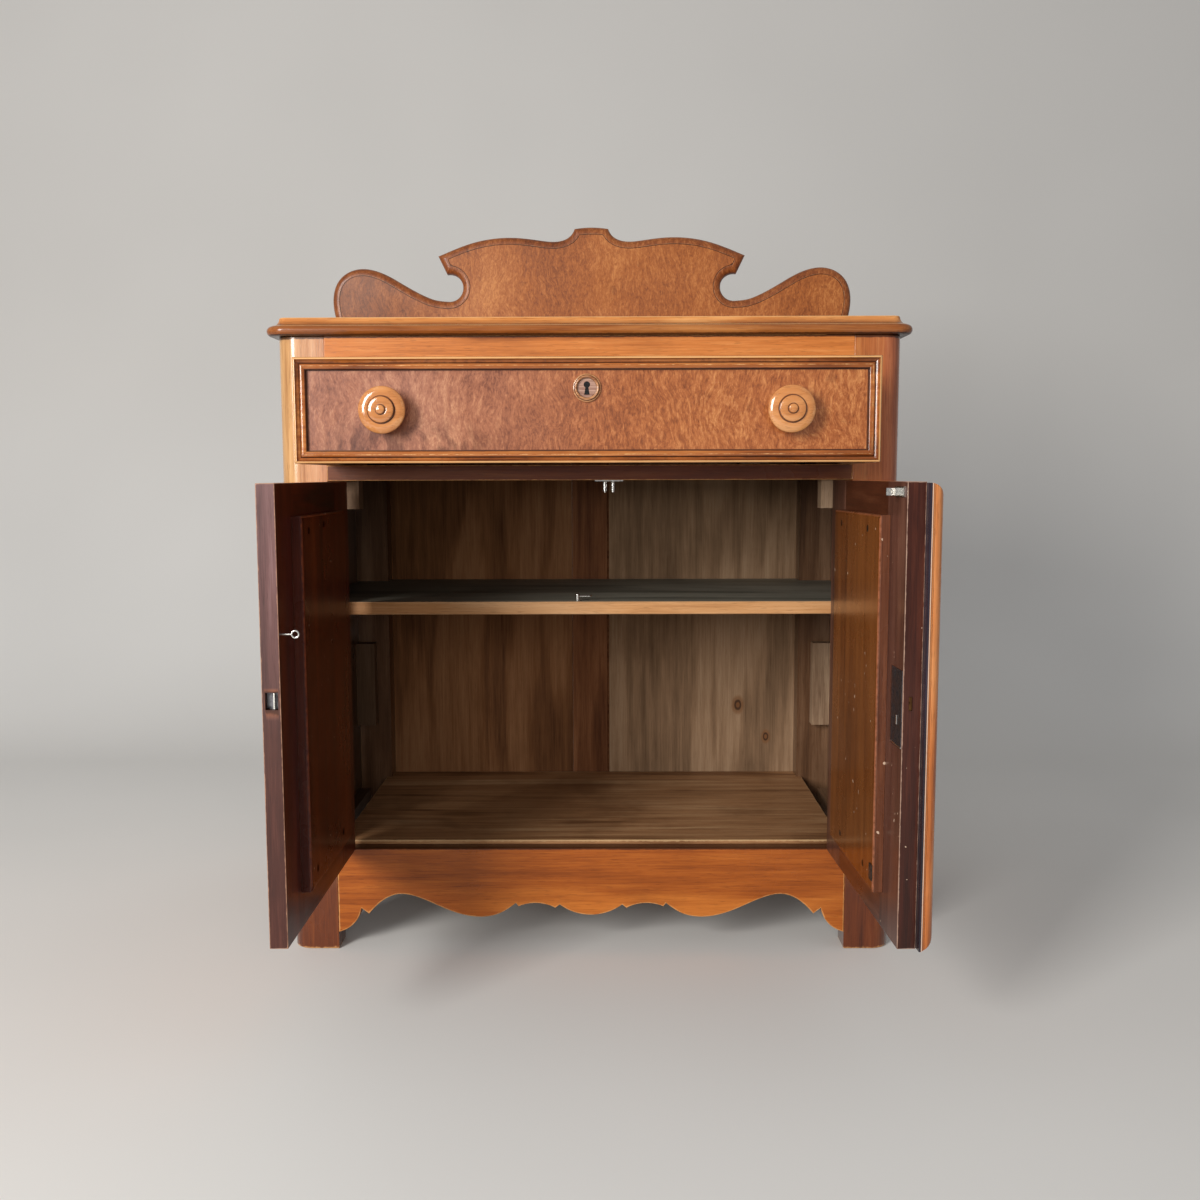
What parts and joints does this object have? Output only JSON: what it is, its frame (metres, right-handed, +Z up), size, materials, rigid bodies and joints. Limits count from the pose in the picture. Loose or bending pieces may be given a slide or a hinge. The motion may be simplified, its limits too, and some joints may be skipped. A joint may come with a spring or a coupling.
{
  "type": "washstand cabinet",
  "caption": "Freestanding wooden washstand cabinet with a long drawer above hinged doors, an inner shelf, a moulded top and a scrolled splashback.",
  "frame": {"origin": "on the floor, under the middle of the bounding box of the whole cabinet as pictured, with the drawer part open and both doors open", "axes": "+X to the right seen from the front, +Y to the back, +Z up; the front faces -Y"},
  "size_m": [0.764, 0.71, 0.9435],
  "materials": {
    "walnut": "old shellac, warm orange brown",
    "walnut_post": "old shellac, paler straight-grained walnut",
    "burl": "figured burl veneer, shellac",
    "walnut_dark": "dark red-brown stained inside faces",
    "whitewood": "raw grey-brown secondary wood",
    "shelf_wood": "raw boards gone dark",
    "steel": "worn bright steel",
    "iron": "dark oxidised iron",
    "brass": "aged brass"
  },
  "bodies": {
    "cabinet": {"front_post_left": "walnut_post", "front_post_right": "walnut_post", "rear_posts": "walnut_post", "side_panel_left": "walnut", "side_panel_right": "walnut", "top_rail": "walnut", "drawer_divider": "walnut", "apron": "walnut", "floor_board": "whitewood", "shelf": "shelf_wood", "top_board": "walnut", "splashback": "burl", "back_board_left": "whitewood", "back_board_middle": "whitewood", "back_board_right": "whitewood", "shelf_cleats": "whitewood", "drawer_runners": "whitewood", "drawer_kickers": "whitewood", "glue_blocks": "whitewood", "post_hinge_leaves": "brass", "catch_body": "steel", "hook_screw": "steel"},
    "drawer": {"drawer_front": "burl", "drawer_moulding": "walnut", "drawer_side_left": "whitewood", "drawer_side_right": "whitewood", "drawer_back": "whitewood", "drawer_bottom": "whitewood", "drawer_knob_left": "walnut", "drawer_knob_right": "walnut", "drawer_keyhole_ring": "walnut", "drawer_lock_case": "iron"},
    "drawer_bolt": {"drawer_lock_bolt": "iron"},
    "left_door": {"left_door_stiles": "walnut_dark", "left_door_rails": "walnut_dark", "left_door_panel": "burl", "left_door_moulding": "walnut", "left_door_backing": "walnut_dark", "left_door_hinge_leaves": "brass", "left_door_screws": "steel", "left_door_strike_plate": "iron", "left_door_screw_eye": "steel"},
    "right_door": {"right_door_stiles": "walnut_dark", "right_door_rails": "walnut_dark", "right_door_panel": "burl", "right_door_moulding": "walnut", "right_door_backing": "walnut_dark", "right_door_hinge_leaves": "brass", "right_door_screws": "steel", "right_door_lap_strip": "walnut", "right_door_lock_case": "iron", "right_door_keyhole_ring": "walnut", "right_door_catch_strike": "steel", "right_door_patch_plate": "steel"},
    "door_bolt": {"right_door_lock_bolt": "iron"},
    "hook": {"shelf_hook": "steel"},
    "catch_left": {"catch_arm_left": "steel"},
    "catch_right": {"catch_arm_right": "steel"}
  },
  "joints": [
    {"name": "drawer_slide", "type": "slide", "parent": "cabinet", "child": "drawer", "axis": [0, -1, 0], "range_m": [-0.157, 0.12]},
    {"name": "drawer_bolt_slide", "type": "slide", "parent": "drawer", "child": "drawer_bolt", "axis": [0, 0, 1], "range_m": [0, 0.006]},
    {"name": "left_door_hinge", "type": "hinge", "parent": "cabinet", "child": "left_door", "pos_m": [-0.31125, -0.03449, 0.3525], "axis": [0, 0, -1], "range_deg": [-90, 80]},
    {"name": "right_door_hinge", "type": "hinge", "parent": "cabinet", "child": "right_door", "pos_m": [0.31125, -0.03449, 0.3525], "axis": [0, 0, 1], "range_deg": [-92.1, 77.9]},
    {"name": "door_bolt_slide", "type": "slide", "parent": "right_door", "child": "door_bolt", "axis": [0.0366, -0.9993, 0], "range_m": [0, 0.008]},
    {"name": "hook_swivel", "type": "hinge", "parent": "cabinet", "child": "hook", "pos_m": [-0.016, 0.01901, 0.434], "axis": [0, 0, 1], "range_deg": [-90, 60]},
    {"name": "catch_left_spring", "type": "hinge", "parent": "cabinet", "child": "catch_left", "pos_m": [0.0183, 0.00101, 0.57], "axis": [0, 0, -1], "range_deg": [0, 8], "stiffness_Nm_per_rad": 0.3},
    {"name": "catch_right_spring", "type": "hinge", "parent": "cabinet", "child": "catch_right", "pos_m": [0.0283, 0.00101, 0.57], "axis": [0, 0, 1], "range_deg": [0, 8], "stiffness_Nm_per_rad": 0.3}
  ]
}
